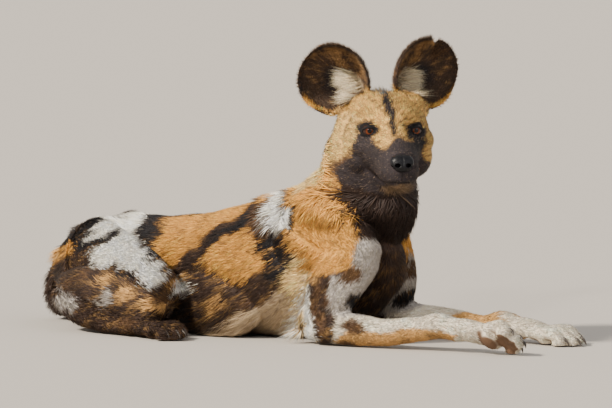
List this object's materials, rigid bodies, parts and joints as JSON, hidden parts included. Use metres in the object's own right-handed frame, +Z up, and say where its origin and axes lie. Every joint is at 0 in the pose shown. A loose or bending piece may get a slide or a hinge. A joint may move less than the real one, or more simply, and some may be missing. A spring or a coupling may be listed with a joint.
{
  "type": "african wild dog model",
  "caption": "Life-size still model of an African wild dog lying on its chest, forelegs stretched forward, head turned to its right, large round ears up.",
  "frame": {"origin": "on the floor under the chest, on the flat that the torso rests on", "axes": "+X forward along the body, +Y the dog's left, +Z up"},
  "size_m": [1.0215, 0.4647, 0.4962],
  "materials": {
    "coat": "short mottled fur of tan, black-brown and white, longer on the neck and tail",
    "nose_leather": "moist black leather",
    "eye": "glossy, amber iris with a round black pupil",
    "claw": "dull dark horn"
  },
  "bodies": {
    "root": {"head": "coat", "jaw": "coat", "nose": "nose_leather", "eye_right": "eye", "eye_left": "eye", "ear_right": "coat", "ear_left": "coat", "neck": "coat", "torso": "coat", "upper_arm_right": "coat", "forearm_right": "coat", "forepaw_right": "coat", "thigh_right": "coat", "shank_right": "coat", "hind_foot_right": "coat", "upper_arm_left": "coat", "forearm_left": "coat", "forepaw_left": "coat", "thigh_left": "coat", "shank_left": "coat", "hind_foot_left": "coat", "tail_base": "coat", "tail_middle": "coat", "tail_tip": "coat", "claw_forepaw_right_1": "claw", "claw_forepaw_right_2": "claw", "claw_forepaw_right_3": "claw", "claw_forepaw_right_4": "claw", "claw_forepaw_left_1": "claw", "claw_forepaw_left_2": "claw", "claw_forepaw_left_3": "claw", "claw_forepaw_left_4": "claw", "claw_hind_foot_right_1": "claw", "claw_hind_foot_right_2": "claw", "claw_hind_foot_right_3": "claw", "claw_hind_foot_right_4": "claw", "claw_hind_foot_left_1": "claw", "claw_hind_foot_left_2": "claw", "claw_hind_foot_left_3": "claw", "claw_hind_foot_left_4": "claw"}
  },
  "joints": []
}
